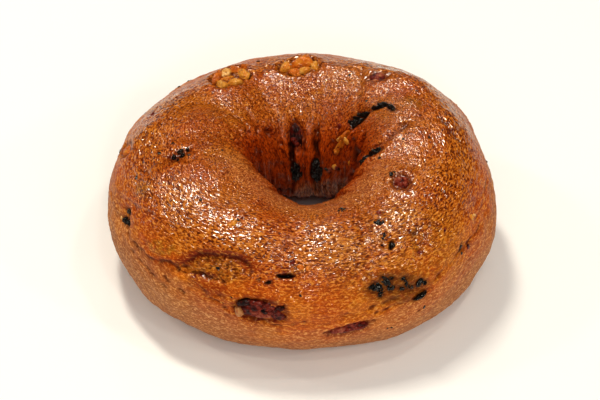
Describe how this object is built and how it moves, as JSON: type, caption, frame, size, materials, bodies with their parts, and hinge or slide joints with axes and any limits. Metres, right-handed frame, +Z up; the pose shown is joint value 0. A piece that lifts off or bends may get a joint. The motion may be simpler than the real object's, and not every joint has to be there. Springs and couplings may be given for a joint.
{
  "type": "bagel",
  "caption": "Thick baked bagel ring with a glossy golden brown crust, dried cranberries, raisins and walnut pieces held in the dough.",
  "frame": {"origin": "middle of the flat base, under the middle of the whole ring", "axes": "+Z up along the hole, -Y towards the front seen in the picture, +X to its right"},
  "size_m": [0.1122, 0.1079, 0.0439],
  "materials": {
    "crust": "satin",
    "cranberry": "glossy",
    "walnut": "satin",
    "raisin": "glossy"
  },
  "bodies": {
    "root": {"dough": "crust", "cranberry_front": "cranberry", "cranberry_slit": "cranberry", "cranberry_right": "cranberry", "cranberry_back": "cranberry", "cranberry_hole": "cranberry", "cranberry_rear": "cranberry", "cranberry_left_low": "cranberry", "walnut_back_left": "walnut", "walnut_back": "walnut", "walnut_hole": "walnut", "walnut_left": "walnut", "walnut_rear_right": "walnut", "raisin_long": "raisin", "raisin_inner_right": "raisin", "raisin_crease": "raisin", "raisin_hole_left": "raisin", "raisin_hole_right": "raisin", "raisin_right": "raisin", "raisin_left": "raisin", "raisin_left_low": "raisin", "raisin_rear": "raisin", "raisin_right_low": "raisin"}
  },
  "joints": []
}
